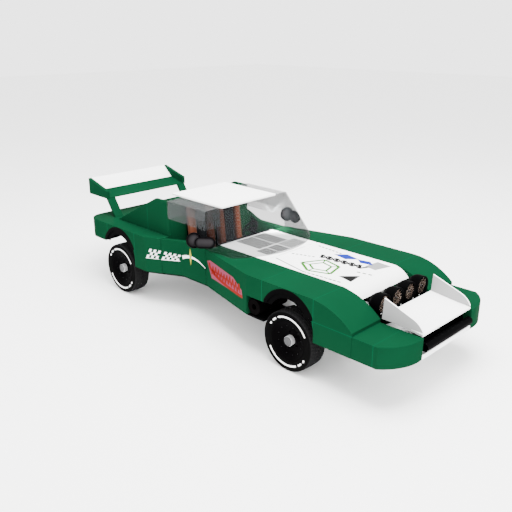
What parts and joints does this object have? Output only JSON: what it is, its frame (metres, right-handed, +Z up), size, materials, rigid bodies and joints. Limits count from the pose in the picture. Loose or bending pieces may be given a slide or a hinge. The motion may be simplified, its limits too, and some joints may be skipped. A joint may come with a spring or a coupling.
{
  "type": "rally car",
  "caption": "Open-sided two-seat rally car with waisted flanks, a row of spot lamps, a fastback roof and a rear wing; its wheels roll and steer, and its doors and hood open.",
  "frame": {"origin": "middle of the car's length and width, on the floor", "axes": "+X forward, +Y to the car's left, +Z up"},
  "size_m": [4.916, 1.68, 1.273],
  "materials": {
    "body_green": "satin green paint",
    "body_white": "satin white paint",
    "black_trim": "matt black",
    "gloss_black": "gloss black",
    "chassis_black": "matt black chassis paint",
    "bare_steel": "machined",
    "exhaust_black": "heat-proof black",
    "engine_grey": "as cast",
    "tinted_glass": "clear grey tint",
    "lamp_glass": "fluted",
    "seat_trim": "tan bolsters and a black centre",
    "rim_black": "gloss black",
    "tyre_rubber": "black rubber with two white arcs"
  },
  "bodies": {
    "chassis": {"front_wing_left": "body_green", "front_wing_right": "body_green", "rear_quarter_left": "body_green", "rear_quarter_right": "body_green", "bumper_corner_left": "body_green", "bumper_corner_right": "body_green", "buttresses": "body_green", "bulkhead": "body_green", "rear_deck": "body_green", "wing_body": "body_green", "wing_struts": "body_green", "cowl": "body_white", "nose_panel": "body_white", "front_lip": "body_white", "roof": "body_white", "wing_top": "body_white", "inner_wings": "body_white", "grille": "black_trim", "bumper_bar": "black_trim", "arch_liners": "black_trim", "lamp_pods": "black_trim", "dashboard": "black_trim", "steering_wheel": "black_trim", "mirrors": "gloss_black", "frame_rails": "chassis_black", "floor_pan": "chassis_black", "front_arms": "bare_steel", "rear_axle": "bare_steel", "exhausts": "exhaust_black", "engine": "engine_grey", "windscreen": "tinted_glass", "side_windows": "tinted_glass", "lamp_lenses": "lamp_glass", "seat_left": "seat_trim", "seat_right": "seat_trim"},
    "door_left": {"door_left": "body_green"},
    "door_right": {"door_right": "body_green"},
    "hood": {"hood": "body_white"},
    "steer_left": {"knuckle_left": "bare_steel"},
    "steer_right": {"knuckle_right": "bare_steel"},
    "wheel_front_left": {"rim_front_left": "rim_black", "tyre_front_left": "tyre_rubber"},
    "wheel_front_right": {"rim_front_right": "rim_black", "tyre_front_right": "tyre_rubber"},
    "wheel_rear_left": {"rim_rear_left": "rim_black", "tyre_rear_left": "tyre_rubber"},
    "wheel_rear_right": {"rim_rear_right": "rim_black", "tyre_rear_right": "tyre_rubber"}
  },
  "joints": [
    {"name": "door_left_hinge", "type": "hinge", "parent": "chassis", "child": "door_left", "pos_m": [-0.16, 0.622, 0.62], "axis": [0, 0, -1], "range_deg": [0, 65]},
    {"name": "door_right_hinge", "type": "hinge", "parent": "chassis", "child": "door_right", "pos_m": [-0.16, -0.622, 0.62], "axis": [0, 0, 1], "range_deg": [0, 65]},
    {"name": "hood_hinge", "type": "hinge", "parent": "chassis", "child": "hood", "pos_m": [0.532, 0, 0.824], "axis": [0, -1, 0], "range_deg": [0, 55]},
    {"name": "steer_left_kingpin", "type": "hinge", "parent": "chassis", "child": "steer_left", "pos_m": [1.231, 0.735, 0.304], "axis": [0, 0, 1], "range_deg": [-25, 25]},
    {"name": "steer_right_kingpin", "type": "hinge", "parent": "chassis", "child": "steer_right", "pos_m": [1.231, -0.735, 0.304], "axis": [0, 0, 1], "range_deg": [-25, 25]},
    {"name": "wheel_front_left_spin", "type": "hinge", "parent": "steer_left", "child": "wheel_front_left", "pos_m": [1.231, 0.735, 0.304], "axis": [0, 1, 0], "continuous": true},
    {"name": "wheel_front_right_spin", "type": "hinge", "parent": "steer_right", "child": "wheel_front_right", "pos_m": [1.231, -0.735, 0.304], "axis": [0, 1, 0], "continuous": true},
    {"name": "wheel_rear_left_spin", "type": "hinge", "parent": "chassis", "child": "wheel_rear_left", "pos_m": [-1.525, 0.735, 0.304], "axis": [0, 1, 0], "continuous": true},
    {"name": "wheel_rear_right_spin", "type": "hinge", "parent": "chassis", "child": "wheel_rear_right", "pos_m": [-1.525, -0.735, 0.304], "axis": [0, 1, 0], "continuous": true}
  ],
  "couplings": [
    {"joint": "steer_right_kingpin", "follows": "steer_left_kingpin", "ratio": 1}
  ]
}
